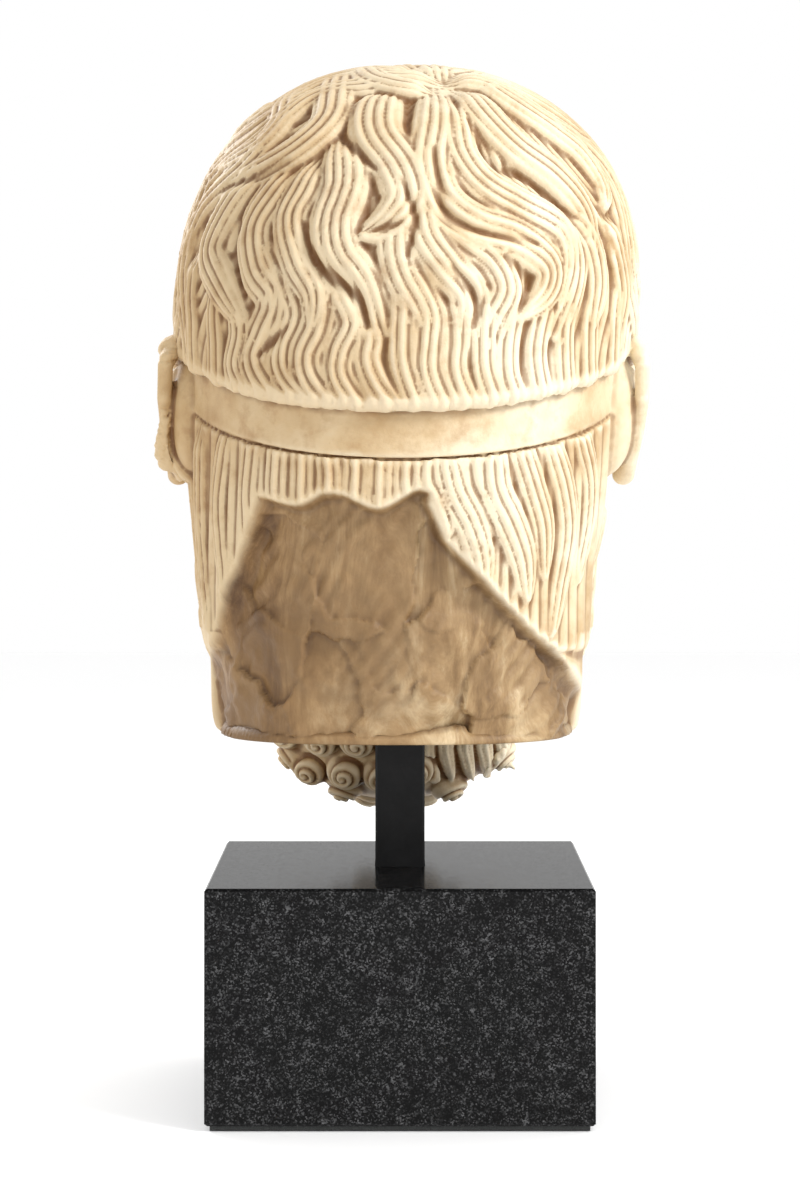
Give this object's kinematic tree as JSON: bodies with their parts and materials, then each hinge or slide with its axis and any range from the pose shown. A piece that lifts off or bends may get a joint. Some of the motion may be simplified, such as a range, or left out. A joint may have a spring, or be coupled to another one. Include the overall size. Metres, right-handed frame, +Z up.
{
  "type": "mounted marble head",
  "caption": "Life-size antique bearded marble head with a hair band, pinned on a square steel post in a granite block.",
  "frame": {"origin": "middle of the felt's underside, on the axis of the post and pin", "axes": "+Z up along the post, -Y the way the face looks, +X to the face's left, which is the viewer's right from the front"},
  "size_m": [0.1929, 0.2229, 0.419],
  "materials": {
    "felt": "dark grey wool felt",
    "granite": "near-black speckled granite, polished top",
    "zinc_steel": "zinc plated",
    "spring_steel": "blackened spring steel",
    "black_steel": "satin black paint",
    "stainless": "turned stainless steel",
    "nylon": "natural nylon",
    "brass": "turned brass",
    "resin": "filled polyester resin",
    "marble": "weathered ivory marble with honey-brown patina"
  },
  "bodies": {
    "stand": {"base_felt": "felt", "base_block": "granite", "hex_nut": "zinc_steel", "spring_washer": "spring_steel", "plate_washer": "zinc_steel", "base_stud": "zinc_steel", "post": "black_steel", "head_pin": "stainless"},
    "washer": {"neck_washer": "nylon"},
    "head": {"marble_head": "marble", "resin_bed": "resin", "pin_sleeve": "brass", "sleeve_plug": "brass"}
  },
  "joints": [
    {"name": "head_turn", "type": "hinge", "parent": "stand", "child": "washer", "pos_m": [0, 0, 0.146], "axis": [0, 0, 1], "continuous": true},
    {"name": "head_lift", "type": "slide", "parent": "washer", "child": "head", "axis": [0, 0, 1], "range_m": [0, 0.07]}
  ]
}
